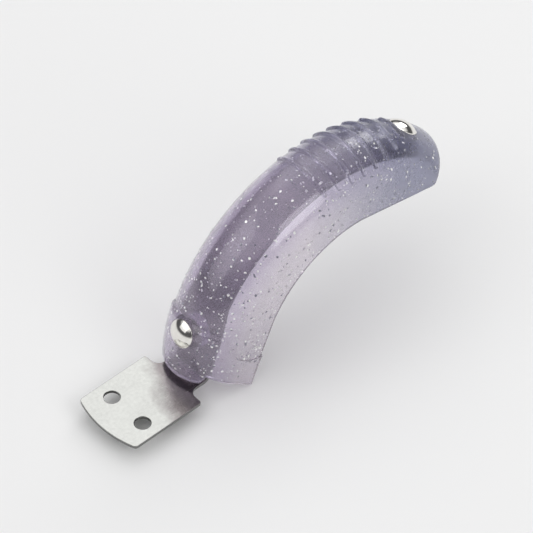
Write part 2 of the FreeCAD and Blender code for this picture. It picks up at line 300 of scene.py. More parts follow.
class CoverForm:
    """The cover's outer surface and its edge lines."""

    foot = Vector((47.1, -5.6))
    knee = Vector((58.3, 18.9))
    waist = Vector((76.0, 38.0))
    crest = Vector((104.0, 43.9))
    tail = Vector((165.0, 31.5))
    notch = Vector((29.7, 7.5))
    tongue_angle = 85.2
    tongue_corner = 1.6
    tongue_flat = 8.72
    tongue_half = 9.7
    notch_half = 11.4
    collar_half = 17.5
    collar_rise = 1.3
    collar_rear = 66.5
    collar_shoulder = 66.0
    collar_waist = Vector((39.6, 15.0))
    collar_foot = Vector((53.5, 6.6))
    rib_first = 7.5
    rib_pitch = 5.5
    rib_sink = 0.15
    rib_widest = 2.6
    rib_spread = 53.0
    rib_taper = 33.0
    rib_fade = 0.45
    fixed_girth = 20.0
    rim_strip = 0.5
    plain_front = 61.0
    corner_along = -2.0
    tail_start = -8.0

    def __init__(self, size):
        self.tube = size.tube_radius / MM
        self.crown = size.crown_radius / MM
        self.axis = self.crown - self.tube
        self.wall = size.wall / MM
        self.nose = size.nose_length / MM
        self.rib_r = size.rib_radius / MM
        self.rib_count = size.rib_count
        self.quarter = 0.5 * math.pi * self.tube
        self.centre, self.inner_r = circle_through(self.knee, self.waist, self.crest)
        shoulder = station(self.collar_rear, self.collar_shoulder)
        self.collar_centre, self.collar_r = circle_through(
            Vector((shoulder.x, shoulder.z)), self.collar_waist, self.collar_foot)
        self.apex = self.find_apex()

    def angle_at(self, along):
        """The station angle at a distance along the crown from the tail, which is negative in front."""
        return TAIL_ANGLE - math.degrees(along / self.crown)

    def along_at(self, angle):
        return -math.radians(angle - TAIL_ANGLE) * self.crown

    def low_radius(self, angle):
        """The radius of the lower edge at a station, from the side-view outline."""
        turn = math.radians(angle)
        ray = Vector((-math.sin(turn), math.cos(turn)))
        start = Vector((ARC_X, ARC_Z))
        knee_angle = math.degrees(math.atan2(ARC_X - self.knee.x, self.knee.y - ARC_Z))
        crest_angle = math.degrees(math.atan2(ARC_X - self.crest.x, self.crest.y - ARC_Z))
        if crest_angle < angle < knee_angle:
            gap = start - self.centre
            half = ray.dot(gap)
            return -half + math.sqrt(half * half - gap.dot(gap) + self.inner_r ** 2)
        first, last = (self.foot, self.knee) if angle >= knee_angle else (self.crest, self.tail)
        step = last - first
        across = Vector((-step.y, step.x))
        return across.dot(first - start) / across.dot(ray)

    def low_girth(self, angle):
        radius = self.low_radius(angle)
        if radius < self.axis:
            return self.quarter + self.axis - radius
        return self.tube * math.acos(min(1.0, (radius - self.axis) / self.tube))

    def cut_height(self, reach):
        """The radius of the tail's lower edge at a distance behind the last station."""
        start = self.low_radius(TAIL_ANGLE)
        turn = math.radians(TAIL_ANGLE)
        slope = (self.tail - self.crest).normalized()
        back = slope.x * math.cos(turn) + slope.y * math.sin(turn)
        up = -slope.x * math.sin(turn) + slope.y * math.cos(turn)
        return start + up / back * reach

    def find_apex(self):
        def above(along):
            lean = along / self.nose
            top = self.axis + self.tube * math.cos(lean)
            return top - self.cut_height(self.nose * math.sin(lean))
        return crossing(above, 0.0, 0.5 * math.pi * self.nose)

    def rim_girth(self, along):
        """The girth of the cover's edge at a distance along the crown."""
        if along <= 0:
            return self.low_girth(self.angle_at(along))
        lean = along / self.nose
        rise = self.cut_height(self.nose * math.sin(lean)) - self.axis
        share = rise / (self.tube * math.cos(lean))
        return self.tube * math.acos(max(-1.0, min(1.0, share)))

    def surface(self, along, girth):
        """The point of the outer surface at a distance along the crown and a girth."""
        side = 1.0 if girth >= 0 else -1.0
        lean = max(0.0, along) / self.nose
        radius = self.tube * math.cos(lean)
        if abs(girth) <= self.quarter:
            turn = girth / self.tube
            y, height = radius * math.sin(turn), self.axis + radius * math.cos(turn)
        else:
            y, height = side * radius, self.axis - (abs(girth) - self.quarter)
        angle = self.angle_at(min(0.0, along))
        point = station(angle, height, y)
        reach = self.nose * math.sin(lean)
        turn = math.radians(angle)
        return point + reach * Vector((math.cos(turn), 0, math.sin(turn)))

    def outward(self, along, girth):
        turn = max(-self.quarter, min(self.quarter, girth)) / self.tube
        angle = math.radians(self.angle_at(min(0.0, along)))
        up = Vector((-math.sin(angle), 0, math.cos(angle)))
        return (up * math.cos(turn) + Vector((0, math.sin(turn), 0))).normalized()

    def tube_rows(self):
        """Row girths over the tube, finer at the tongue's corners."""
        notch = self.tube * math.asin(self.notch_half / self.tube)
        rows = [index * 0.6 for index in range(14)]
        rows += [mix(8.4, notch, index / 11) for index in range(11)]
        rows += [mix(notch, self.fixed_girth, index / 14) for index in range(15)]
        return rows

    def row_girth(self, row, angle):
        """The girth of a row at a station: fixed on the tube, stretched to the lower edge on the skirt."""
        if row < len(self.rows):
            return self.rows[row]
        share = (row - len(self.rows) + 1) / self.skirt_rows
        low = self.low_girth(angle)
        if share >= 1:
            return low
        share = share * self.skirt_rows / (self.skirt_rows - 1)
        return mix(self.fixed_girth, low - self.rim_strip, share)

    def side_point(self, row, angle):
        point = self.surface(self.along_at(angle), self.row_girth(row, angle))
        return Vector((point.x, point.z))

    def front_angle(self, row):
        """The station where a row meets the cover's front edge."""
        girth = self.rows[row] if row < len(self.rows) else self.fixed_girth
        y = self.tube * math.sin(girth / self.tube)
        if row < len(self.rows) and y < self.notch_half - 1e-3:
            low = ARC_Z + self.crown * math.cos(math.radians(self.tongue_angle))
            rise = 0.0
            if y > self.tongue_flat:
                lean = min(y - self.tongue_flat, 0.888 * self.tongue_corner)
                rise = self.tongue_corner - math.sqrt(self.tongue_corner ** 2 - lean ** 2)
            slope = (self.notch.y - low) / (self.notch_half - self.tongue_half)
            height = low + max(rise, slope * (y - self.tongue_half))
            radius = self.axis + self.tube * math.cos(girth / self.tube)
            return math.degrees(math.acos((height - ARC_Z) / radius))
        step = self.foot - self.notch
        inside = Vector((-step.y, step.x))
        return crossing(lambda angle: inside.dot(self.side_point(row, angle) - self.notch), 66.0, 97.0)

    def collar_angle(self, row):
        """The station of the collar's rear edge along a row: straight over the crown, curved down the skirt."""
        point = self.side_point(row, self.collar_rear) - Vector((ARC_X, ARC_Z))
        if point.length >= self.collar_shoulder:
            return self.collar_rear
        return crossing(
            lambda angle: self.collar_r - (self.side_point(row, angle) - self.collar_centre).length, 62.0, 84.0)

    def collar_height(self, girth):
        """How far the collar stands proud of the cover at a girth."""
        turn = min(abs(girth) / self.tube, 0.5 * math.pi)
        side = self.collar_half - self.tube
        return side + (self.collar_rise - side) * math.cos(turn)

    def rings(self):
        """Every ring of the cover's mesh, from the front edge to the tail's edge.
        A ring is a list of (along, girth) for the rows of one side, and the collar's share of its height."""
        self.skirt_rows = 15
        self.rows = self.tube_rows()
        count = len(self.rows) + self.skirt_rows
        half = range(count)
        rings = []

        def ring_at(angles, share):
            rings.append((
                [(self.along_at(angle), self.row_girth(row, angle)) for row, angle in zip(half, angles)],
                share))

        self.front = [self.front_angle(row) for row in half]
        middle = [self.collar_angle(row) for row in half]
        ramp = [0.35 + 1.1 * (self.collar_height(self.row_girth(row, 70.0)) - 0.5) for row in half]
        self.full = [angle + 0.9 * width for angle, width in zip(middle, ramp)]
        self.flush = [angle - 1.1 * width for angle, width in zip(middle, ramp)]
        for share in (0, 0.05, 0.1, 0.17, 0.25, 0.34, 0.43, 0.52, 0.61, 0.7, 0.79, 0.88, 0.95):
            ring_at([mix(a, b, share) for a, b in zip(self.front, self.full)], 1.0)
        for share, rise in ((0, 1.0), (0.12, 0.96), (0.4, 0.66), (0.7, 0.26), (0.9, 0.05), (1, 0.0)):
            ring_at([mix(a, b, share) for a, b in zip(self.full, self.flush)], rise)
        for share in (0.06, 0.15, 0.3, 0.45, 0.6, 0.75, 0.9):
            ring_at([mix(angle, self.plain_front, share) for angle in self.flush], 0.0)

        angles = [self.plain_front - step for step in range(0, 51)]
        bar = [0.0, 0.285, 0.55, 0.778, 0.953, 1.04, 1.13, 1.27, 1.5, 2.4]
        for index in range(self.rib_count):
            middle = self.rib_first - index * self.rib_pitch
            for offset in sorted({-value for value in bar} | set(bar)):
                angles.append(middle - math.degrees(offset / self.crown))
            angles.append(middle - 0.5 * self.rib_pitch)
        last = self.angle_at(self.tail_start)
        angles = [angle for angle in angles if angle > -34.0]
        angles.sort(reverse=True)
        steps = 10
        angles += [mix(angles[-1], last, (step + 1) / steps) for step in range(steps)]
        for angle in angles:
            ring_at([angle] * count, 0.0)

        start = rings[-1][0]
        rim = self.tail_rim([girth / start[-1][1] for _, girth in start])
        steps = 26
        for step in range(1, steps + 1):
            share = step / steps
            share = min(share * (1.42 - 0.42 * share), 1.0)
            rings.append(([
                (mix(a[0], b[0], share), mix(a[1], b[1], share)) for a, b in zip(start, rim)], 0.0))
        return rings

    def tail_rim(self, shares):
        """Points of the tail's edge at given shares of its length, measured from the centre line."""
        points = []
        for index in range(601):
            along = mix(self.apex, self.corner_along, (index / 600) ** 2)
            points.append((along, self.rim_girth(along)))
        lengths = [0.0]
        for before, after in zip(points, points[1:]):
            step = self.surface(*after) - self.surface(*before)
            lengths.append(lengths[-1] + step.length)
        found = []
        for share in shares:
            wanted = share * lengths[-1]
            index = next((i for i, length in enumerate(lengths) if length >= wanted - 1e-9), 600)
            index = max(1, index)
            part = (wanted - lengths[index - 1]) / (lengths[index] - lengths[index - 1])
            found.append(tuple(mix(a, b, part) for a, b in zip(points[index - 1], points[index])))
        return found

    def rib_height(self, along, girth):
        """How far the grip ribs stand proud of the crown at a point."""
        if along > 0:
            return 0.0
        angle = self.angle_at(along)
        index = round((self.rib_first - angle) / self.rib_pitch)
        if not 0 <= index < self.rib_count:
            return 0.0
        place = (index - self.rib_widest) / (7 - self.rib_widest)
        if place < 0:
            place *= 0.75
        half = self.tube * math.radians(self.rib_spread - self.rib_taper * place ** 2)
        local = self.axis + self.tube * math.cos(girth / self.tube)
        offset = math.radians(angle - (self.rib_first - index * self.rib_pitch)) * local
        distance = math.hypot(offset, max(0.0, abs(girth) - half))
        joint = 0.92 * self.rib_r
        if distance <= joint:
            return math.sqrt(self.rib_r ** 2 - distance ** 2) - self.rib_sink
        edge = math.sqrt(self.rib_r ** 2 - joint ** 2) - self.rib_sink
        fade = max(0.0, 1 - (distance - joint) / self.rib_fade)
        return edge * fade ** 3


def make_cover_shell(form, rounding):
    """The cover's wall: a swept section trimmed to its edge lines, with ribs and collar."""
    rings = form.rings()
    count = len(rings[0][0])
    bm = bmesh.new()
    row_layer = bm.verts.layers.int.new("row")
    ring_layer = bm.verts.layers.int.new("ring")
    along_layer = bm.verts.layers.float.new("along")
    girth_layer = bm.verts.layers.float.new("girth")
    chain = []
    for row in range(-count + 1, count):
        girth = math.copysign(form.row_girth(abs(row), 60.0), row)
        vert = bm.verts.new(form.surface(form.along_at(90.0), girth))
        vert[row_layer] = row
        chain.append(vert)
    edges = [bm.edges.new(pair) for pair in zip(chain, chain[1:])]
    sweep = math.radians(150.0)
    steps = len(rings) - 1
    bmesh.ops.spin(
        bm, geom=chain + edges, cent=(ARC_X, 0, ARC_Z), axis=(0, 1, 0), dvec=(0, 0, 0),
        angle=sweep, steps=steps, use_merge=False, use_duplicate=False)

    # The swept rings move to their own stations, and their rows onto the edge lines.
    for vert in bm.verts:
        angle = math.degrees(math.atan2(ARC_X - vert.co.x, vert.co.z - ARC_Z))
        ring = round((90.0 - angle) / (150.0 / steps))
        row = vert[row_layer]
        along, girth = rings[ring][0][abs(row)]
        vert[along_layer] = along
        vert[girth_layer] = math.copysign(girth, row)
        vert[ring_layer] = ring
        vert.co = form.surface(along, vert[girth_layer])
    bmesh.ops.recalc_face_normals(bm, faces=bm.faces)
    probe = min(bm.faces, key=lambda face: (face.calc_center_median() - station(30.0, form.crown)).length)
    if probe.normal.dot(station(30.0, 1.0) - station(30.0, 0.0)) < 0:
        bmesh.ops.reverse_faces(bm, faces=bm.faces)
    bmesh.ops.solidify(bm, geom=bm.faces[:], thickness=form.wall)

    side_layer = bm.verts.layers.int.new("side")
    for vert in bm.verts:
        home = form.surface(vert[along_layer], vert[girth_layer])
        vert[side_layer] = 1 if (vert.co - home).length < 0.25 * form.wall else 2

    for vert in bm.verts:
        if vert[side_layer] != 1:
            continue
        along, girth = vert[along_layer], vert[girth_layer]
        height = form.rib_height(along, girth)
        if height > 0:
            vert.co += form.outward(along, girth) * height
        share = rings[vert[ring_layer]][1]
        if share > 0:
            vert.co += form.outward(along, girth) * form.collar_height(girth) * share

    rims = []
    for edge in bm.edges:
        sides = {vert[side_layer] for vert in edge.verts}
        if len(sides) == 1 and any(len({v[side_layer] for v in face.verts}) > 1 for face in edge.link_faces):
            rims.append(edge)
    bmesh.ops.bevel(
        bm, geom=rims, offset=rounding, offset_type="OFFSET", segments=3, profile=0.5,
        affect="EDGES", material=-1, clamp_overlap=False)
    for vert in bm.verts:
        vert.co.y = max(-form.collar_half, min(form.collar_half, vert.co.y))
    return bm


FLAKE_EDGE_GAP = 1.2
FLAKE_RIVET_GAP = 7.2
FLAKE_THICKNESS = 0.04


def make_flakes(form, count, largest):
    """Thin six-sided glitter flakes lying at random in the wall of the cover."""
    pick = random.Random(21)
    bm = bmesh.new()
    placed = 0
    while placed < count:
        along = pick.uniform(form.along_at(88.0), form.apex - 1.5)
        girth = pick.uniform(-40.0, 40.0)
        reach = form.rim_girth(along) - FLAKE_EDGE_GAP
        if abs(girth) > reach:
            continue
        row = min(range(len(form.rows)), key=lambda k: abs(form.rows[k] - abs(girth)))
        angle = form.angle_at(along)
        if angle > form.front[row] - FLAKE_EDGE_GAP:
            continue
        if pick.random() > max(0.42, min(1.0, (angle - 5.0) / 60.0)):
            continue
        normal = form.outward(along, girth)
        rise = (angle - form.flush[row]) / (form.full[row] - form.flush[row])
        rise = max(0.0, min(1.0, rise)) * form.collar_height(girth)
        place = form.surface(along, girth) + normal * rise
        near = False
        for angle in (FRONT_RIVET_ANGLE, REAR_RIVET_ANGLE):
            local = at_station(angle).inverted() @ place
            near = near or math.hypot(local.x, local.y) < FLAKE_RIVET_GAP
        if near:
            continue
        radius = largest * (0.34 + 0.66 * pick.random() ** 1.6)
        on_top = pick.random() < 0.66
        lean = Vector([pick.gauss(0, 0.16 if on_top else 0.34) for _ in range(3)])
        facing = (normal + lean).normalized()
        slant = math.sqrt(max(0.0, 1 - facing.dot(normal) ** 2))
        if on_top:
            depth = 0.012
        else:
            depth = 0.1 + radius * slant + 1.2 * pick.random() ** 2
        depth = min(depth, form.wall - 0.15 - radius * slant)
        turn = facing.to_track_quat("Z", "Y").to_matrix().to_4x4()
        spot = Matrix.Translation(place - normal * depth) @ turn
        stretch = Matrix.Diagonal((1.0, pick.uniform(0.55, 1.0), 1.0, 1.0))
        bmesh.ops.create_cone(
            bm, cap_ends=True, segments=6, radius1=radius, radius2=radius, depth=FLAKE_THICKNESS,
            matrix=spot @ Matrix.Rotation(pick.uniform(0, 6.28), 4, "Z") @ stretch)
        placed += 1
    for face in bm.faces:
        face.material_index = 1
    for vert in bm.verts:
        vert.co.y = max(-form.collar_half, min(form.collar_half, vert.co.y))
    return bm


# --- Steel strip form ---
class StripForm:
    """Takes the stamping's flat blank to its bent shape."""

    plate_front = -9.7
    plate_rear = 23.2
    plate_half = 16.0
    plate_bulge = 2.9
    plate_corner = 1.2
    neck_half = 8.9
    neck_fillet = 3.5
    strip_half = 9.3
    bend_r = 3.0

    def __init__(self, thickness):
        self.thickness = thickness
        height = thickness + self.bend_r
        reach = STRIP_TOP_R + self.bend_r
        self.centre = Vector((ARC_X - math.sqrt(reach ** 2 - (height - ARC_Z) ** 2), 0, height))
        self.turn = math.atan2(ARC_X - self.centre.x, self.centre.z - ARC_Z)
        self.start = self.centre.x
        self.end = self.start + (self.bend_r + 0.5 * thickness) * self.turn
        self.rear = self.end + (self.turn - math.radians(REAR_RIVET_ANGLE)) * STRIP_TOP_R

    def length_at(self, angle):
        return self.end + (self.turn - math.radians(angle)) * STRIP_TOP_R

    def half_width(self, along):
        """Half the strip's width, from its height up the cover."""
        if along <= self.end:
            height = self.thickness + 3.0 * max(0.0, along - self.start) / (self.end - self.start)
        else:
            angle = math.degrees(self.turn - (along - self.end) / STRIP_TOP_R)
            height = station(max(angle, 0.0), STRIP_TOP_R).z
        table = [
            (1.5, self.neck_half), (4.5, 9.9), (15.0, 10.8), (20.0, 11.2), (24.0, 11.2),
            (34.0, self.strip_half), (75.0, self.strip_half)]
        for (low, narrow), (high, wide) in zip(table, table[1:]):
            if height <= high:
                share = max(0.0, height - low) / (high - low)
                return mix(narrow, wide, share)
        return table[-1][1]

    def bent(self, point):
        along, y, rise = point
        if along <= self.start:
            return Vector((along, y, rise))
        if along <= self.end:
            lean = (along - self.start) / (self.end - self.start) * self.turn
            radius = self.bend_r + self.thickness - rise
            return self.centre + Vector((radius * math.sin(lean), y, -radius * math.cos(lean)))
        angle = self.turn - (along - self.end) / STRIP_TOP_R
        return station(math.degrees(angle), STRIP_TOP_R - self.thickness + rise, y)


def make_strip_blank(form, hole_r, spacing):
    """The flat stamping, from its bulged front edge to its round rear end."""
    front, rear, edge, neck, end = form.plate_front, form.plate_rear, form.plate_half, form.neck_half, form.strip_half
    plate = [(front, edge), (rear, edge), (rear, neck)]
    stations = [form.start] + [mix(form.start, form.end, share) for share in (0.4, 0.7, 1.0)]
    stations += [form.length_at(angle) for angle in range(83, 56, -2)]
    sides = plate + [(along, form.half_width(along)) for along in stations]
    sides.append((form.rear, end))
    bm = bmesh.new()
    left = [bm.verts.new((along, half, 0)) for along, half in sides]
    tip = [
        bm.verts.new((form.rear + end * math.sin(math.radians(turn)), end * math.cos(math.radians(turn)), 0))
        for turn in range(6, 175, 6)
    ]
    right = [bm.verts.new((along, -half, 0)) for along, half in reversed(sides)]
    bulge = [
        bm.verts.new((front - form.plate_bulge * (1 - (y / edge) ** 2), y, 0))
        for y in (-13.5, -11, -8.5, -6, -3.5, -1.2, 1.2, 3.5, 6, 8.5, 11, 13.5)
    ]
    bm.faces.new(left + tip + right + bulge)
    bmesh.ops.recalc_face_normals(bm, faces=bm.faces)
    corners = left[:1] + left[1:2] + right[-1:] + right[-2:-1]
    bmesh.ops.bevel(
        bm, geom=corners, offset=form.plate_corner, offset_type="OFFSET", segments=6, profile=0.5,
        affect="VERTICES", material=-1)
    bm.verts.ensure_lookup_table()
    inner = [v for v in bm.verts if abs(v.co.x - rear) < 1e-4 and abs(abs(v.co.y) - neck) < 1e-4]
    bmesh.ops.bevel(
        bm, geom=inner, offset=form.neck_fillet, offset_type="OFFSET", segments=10, profile=0.5,
        affect="VERTICES", material=-1)
    raised = bmesh.ops.extrude_face_region(bm, geom=bm.faces[:])
    tops = [item for item in raised["geom"] if isinstance(item, bmesh.types.BMVert)]
    bmesh.ops.translate(bm, verts=tops, vec=(0, 0, form.thickness))
    bmesh.ops.recalc_face_normals(bm, faces=bm.faces)
    blank = object_from(bm, "strip_blank", 1.0)

    cutter = bmesh.new()
    holes = [(0, spacing / 2, hole_r), (0, -spacing / 2, hole_r)]
    holes += [(form.length_at(angle), 0, SHANK_R) for angle in (FRONT_RIVET_ANGLE, REAR_RIVET_ANGLE)]
    for x, y, radius in holes:
        bmesh.ops.create_cone(
            cutter, cap_ends=True, segments=72, radius1=radius, radius2=radius, depth=8,
            matrix=Matrix.Translation((x, y, 0.7)))
    combine(blank, object_from(cutter, "hole_cutter", 1.0), "DIFFERENCE")
    return blank


def make_strip(form, rounding, hole_r, spacing):
    blank = make_strip_blank(form, hole_r, spacing)
    bm = bmesh.new()
    bm.from_mesh(blank.data)
    mesh = blank.data
    bpy.data.objects.remove(blank)
    bpy.data.meshes.remove(mesh)
    bmesh.ops.dissolve_limit(bm, angle_limit=math.radians(1.0), verts=bm.verts, edges=bm.edges)
    sharp = [edge for edge in bm.edges if edge.calc_face_angle(0.0) > math.radians(60) and
             abs(edge.verts[0].co.z - edge.verts[1].co.z) < 1e-4]
    bmesh.ops.bevel(
        bm, geom=sharp, offset=rounding, offset_type="OFFSET", segments=3, profile=0.5,
        affect="EDGES", material=-1, clamp_overlap=True)
    cuts = [form.start] + [mix(form.start, form.end, step / 14) for step in range(1, 15)]
    steps = 96
    cuts += [mix(form.end, form.rear + form.strip_half, step / steps) for step in range(1, steps)]
    for along in cuts:
        bmesh.ops.bisect_plane(
            bm, geom=bm.verts[:] + bm.edges[:] + bm.faces[:], dist=1e-5,
            plane_co=(along, 0, 0), plane_no=(1, 0, 0))
    # Side faces take the second material, whose dark colour is painted dark reflection.
    for face in bm.faces:
        face.material_index = 1 if abs(face.normal.z) < 0.6 else 0
    for vert in bm.verts:
        vert.co = form.bent(vert.co)
    bmesh.ops.recalc_face_normals(bm, faces=bm.faces)
    return bm


# --- Rivets ---
def washer_top(thickness):
    """The washer's height at a rivet, just low enough for its edge to meet the curved strip."""
    return math.sqrt((STRIP_TOP_R - thickness) ** 2 - WASHER_R ** 2)


def rivet_profile(size, seat, thickness):
    rim = seat + size.head_rim / MM
    dome, head = size.head_dome / MM, size.head_radius / MM
    sphere = (head ** 2 + dome ** 2) / (2 * dome)
    lean = math.degrees(math.asin(head / sphere))
    middle = (0.0, rim + dome - sphere)
    profile = [(0.0, rim + dome)]
    profile += round_arc(middle, sphere, 88.0, 90.0 - lean + 1.2, 18)
    profile += round_arc((head - 0.16, rim - 0.02), 0.16, 48.0, 0.0, 4)
    profile += round_arc((head - 0.12, seat + 0.12), 0.12, 0.0, -90.0, 4)
    tail_top = washer_top(thickness) - 1.0
    profile += [(SHANK_R, seat), (SHANK_R, tail_top), (3.3, tail_top)]
    profile += round_arc((2.7, tail_top - 0.2), 0.9, 13.0, -62.0, 8)
    profile += [(2.6, tail_top - 1.0), (1.6, tail_top - 0.92), (0.0, tail_top - 0.88)]
    return profile


def washer_profile(thickness):
    top = washer_top(thickness)
    low = top - 1.0
    return [
        (SHANK_R, low + 0.1), (SHANK_R, top - 0.1), (SHANK_R + 0.1, top),
        (WASHER_R - 0.16, top), (WASHER_R - 0.05, top - 0.05), (WASHER_R, top - 0.16),
        (WASHER_R, low + 0.16), (WASHER_R - 0.05, low + 0.05), (WASHER_R - 0.16, low),
        (SHANK_R + 0.1, low), (SHANK_R, low + 0.1),
    ]


# --- Materials ---
def new_group(name, inputs, outputs):
    """A shader node group with named sockets, given as (name, type, default)."""
    group = bpy.data.node_groups.new(name, "ShaderNodeTree")
    for label, kind, default in inputs:
        socket = group.interface.new_socket(name=label, in_out="INPUT", socket_type=kind)
        socket.default_value = default
    for label, kind in outputs:
        group.interface.new_socket(name=label, in_out="OUTPUT", socket_type=kind)
    return group


def add_node(tree, kind, x, y, **settings):
    node = tree.nodes.new(kind)
    node.location = (x, y)
    for key, value in settings.items():
        setattr(node, key, value)
    return node


def math_node(tree, operation, x, y, first=None, second=None, clamp=False):
    """A Math node whose inputs are sockets or numbers."""
    node = add_node(tree, "ShaderNodeMath", x, y, operation=operation, use_clamp=clamp)
    for socket, value in zip(node.inputs, (first, second)):
        if value is None:
            continue
        if isinstance(value, (int, float)):
            socket.default_value = value
        else:
            tree.links.new(value, socket)
    return node.outputs[0]


def map_range(tree, value, low, high, to_low, to_high, x, y):
    node = add_node(tree, "ShaderNodeMapRange", x, y)
    tree.links.new(value, node.inputs["Value"])
    for name, number in (("From Min", low), ("From Max", high), ("To Min", to_low), ("To Max", to_high)):
        node.inputs[name].default_value = number
    return node.outputs["Result"]


def noise_of(tree, vector, scale, detail, x, y, roughness=0.5):
    node = add_node(tree, "ShaderNodeTexNoise", x, y)
    node.inputs["Scale"].default_value = scale
    node.inputs["Detail"].default_value = detail
    node.inputs["Roughness"].default_value = roughness
    tree.links.new(vector, node.inputs["Vector"])
    return node.outputs["Fac"]


def stretched(tree, vector, scale, turn, x, y):
    node = add_node(tree, "ShaderNodeMapping", x, y)
    node.inputs["Scale"].default_value = scale
    node.inputs["Rotation"].default_value = turn
    tree.links.new(vector, node.inputs["Vector"])
    return node.outputs["Vector"]


def metal_wear_group():
    """Fine grain, crossing scratches, handling smudges and a faint mottle for bare metal."""
    name = "metal_wear"
    if name in bpy.data.node_groups:
        return bpy.data.node_groups[name]
    number, colour = "NodeSocketFloat", "NodeSocketColor"
    group = new_group(
        name,
        [("Vector", "NodeSocketVector", (0, 0, 0)), ("Colour", colour, (0.7, 0.7, 0.68, 1)),
         ("Roughness", number, 0.3), ("Smudge", number, 0.1), ("Grain", number, 0.5),
         ("Scratches", number, 0.5)],
        [("Colour", colour), ("Roughness", number), ("Height", number)])
    enter = add_node(group, "NodeGroupInput", -1300, 0)
    leave = add_node(group, "NodeGroupOutput", 900, 0)
    vector = enter.outputs["Vector"]
    grain = noise_of(group, stretched(group, vector, (260, 5200, 5200), (0, 0, 0.02), -1050, 420), 1.0, 3, -820, 420)
    first = stretched(group, vector, (150, 3600, 3600), (0.1, 0.2, 0.9), -1050, 140)
    first = noise_of(group, first, 1.0, 1, -820, 140)
    second = stretched(group, vector, (3100, 130, 3100), (0.2, 0.1, 0.45), -1050, -140)
    second = noise_of(group, second, 1.0, 1, -820, -140)
    smudge = noise_of(group, vector, 95.0, 4, -820, -420, 0.6)
    mottle = noise_of(group, vector, 700.0, 3, -820, -640)
    line_a = map_range(group, first, 0.70, 0.76, 0.0, 1.0, -580, 140)
    line_b = map_range(group, second, 0.71, 0.77, 0.0, 1.0, -580, -140)
    lines = math_node(group, "MAXIMUM", -360, 20, line_a, line_b)
    lines = math_node(group, "MULTIPLY", -180, 20, lines, enter.outputs["Scratches"])
    grained = math_node(group, "SUBTRACT", -580, 420, grain, 0.5)
    grained = math_node(group, "MULTIPLY", -360, 420, grained, enter.outputs["Grain"])
    smudged = map_range(group, smudge, 0.35, 0.7, -0.5, 1.0, -580, -420)
    smudged = math_node(group, "MULTIPLY", -360, -420, smudged, enter.outputs["Smudge"])

    rough = math_node(group, "ADD", 0, -220, enter.outputs["Roughness"], smudged)
    more = math_node(group, "MULTIPLY", 0, -60, grained, 0.30)
    rough = math_node(group, "ADD", 180, -220, rough, more)
    more = math_node(group, "MULTIPLY", 180, -60, lines, 0.16)
    rough = math_node(group, "ADD", 360, -220, rough, more, clamp=True)
    group.links.new(rough, leave.inputs["Roughness"])

    height = math_node(group, "SUBTRACT", 180, 420, grained, lines)
    group.links.new(height, leave.inputs["Height"])

    shade_of = map_range(group, mottle, 0.3, 0.7, 0.93, 1.03, -360, -640)
    more = math_node(group, "MULTIPLY", -180, 240, grained, 0.16)
    shade_of = math_node(group, "ADD", 0, 240, shade_of, more)
    tone = add_node(group, "ShaderNodeMix", 360, 200, data_type="RGBA", blend_type="MULTIPLY")
    tone.inputs["Factor"].default_value = 1.0
    grey = add_node(group, "ShaderNodeCombineColor", 180, 240)
    for socket in grey.inputs:
        group.links.new(shade_of, socket)
    group.links.new(enter.outputs["Colour"], tone.inputs["A"])
    group.links.new(grey.outputs["Color"], tone.inputs["B"])
    group.links.new(tone.outputs["Result"], leave.inputs["Colour"])
    return group


def new_material(name):
    material = bpy.data.materials.new(name)
    material.use_nodes = True
    tree = material.node_tree
    tree.nodes.clear()
    output = add_node(tree, "ShaderNodeOutputMaterial", 1200, 0)
    shader = add_node(tree, "ShaderNodeBsdfPrincipled", 700, 0)
    tree.links.new(shader.outputs["BSDF"], output.inputs["Surface"])
    place = add_node(tree, "ShaderNodeTexCoord", -900, 0)
    return material, tree, shader, place.outputs["Object"]


def painted_neck_reflection(tree, vector, colour):
    """Painted dark reflection: darkens the steel from a line before the neck towards the bend, with an uneven border.
    """
    split = add_node(tree, "ShaderNodeSeparateXYZ", -500, 500)
    tree.links.new(vector, split.inputs["Vector"])
    slant = math_node(tree, "MULTIPLY", -300, 500, split.outputs["Y"], -0.45)
    reach = math_node(tree, "ADD", -150, 500, split.outputs["X"], slant)
    patch = noise_of(tree, vector, 130.0, 3, -500, 700, 0.55)
    patch = math_node(tree, "MULTIPLY", -300, 700, math_node(tree, "SUBTRACT", -400, 700, patch, 0.5), 0.012)
    reach = math_node(tree, "ADD", 0, 560, reach, patch)
    share = map_range(tree, reach, 0.0125, 0.0200, 0.0, 1.0, 150, 560)
    # The brownish purple multiplied in here is a painted dark reflection of the cover.
    mixed = add_node(tree, "ShaderNodeMix", 400, 300, data_type="RGBA", blend_type="MULTIPLY")
    tree.links.new(share, mixed.inputs["Factor"])
    tree.links.new(colour, mixed.inputs["A"])
    mixed.inputs["B"].default_value = (0.50, 0.45, 0.475, 1)
    return mixed.outputs["Result"]


def metal_material(name, colour, roughness, smudge, grain, scratches, depth, with_neck_reflection=False):
    material, tree, shader, vector = new_material(name)
    wear = add_node(tree, "ShaderNodeGroup", -300, 0)
    wear.node_tree = metal_wear_group()
    wear.inputs["Colour"].default_value = (*colour, 1)
    wear.inputs["Roughness"].default_value = roughness
    wear.inputs["Smudge"].default_value = smudge
    wear.inputs["Grain"].default_value = grain
    wear.inputs["Scratches"].default_value = scratches
    tree.links.new(vector, wear.inputs["Vector"])
    bump = add_node(tree, "ShaderNodeBump", 300, -300)
    bump.inputs["Strength"].default_value = 1.0
    bump.inputs["Distance"].default_value = depth
    tree.links.new(wear.outputs["Height"], bump.inputs["Height"])
    shown = wear.outputs["Colour"]
    # Painted dark reflection near the neck, where it is asked for.
    if with_neck_reflection:
        shown = painted_neck_reflection(tree, vector, shown)
    tree.links.new(shown, shader.inputs["Base Color"])
    tree.links.new(wear.outputs["Roughness"], shader.inputs["Roughness"])
    tree.links.new(bump.outputs["Normal"], shader.inputs["Normal"])
    shader.inputs["Metallic"].default_value = 1.0
    return material


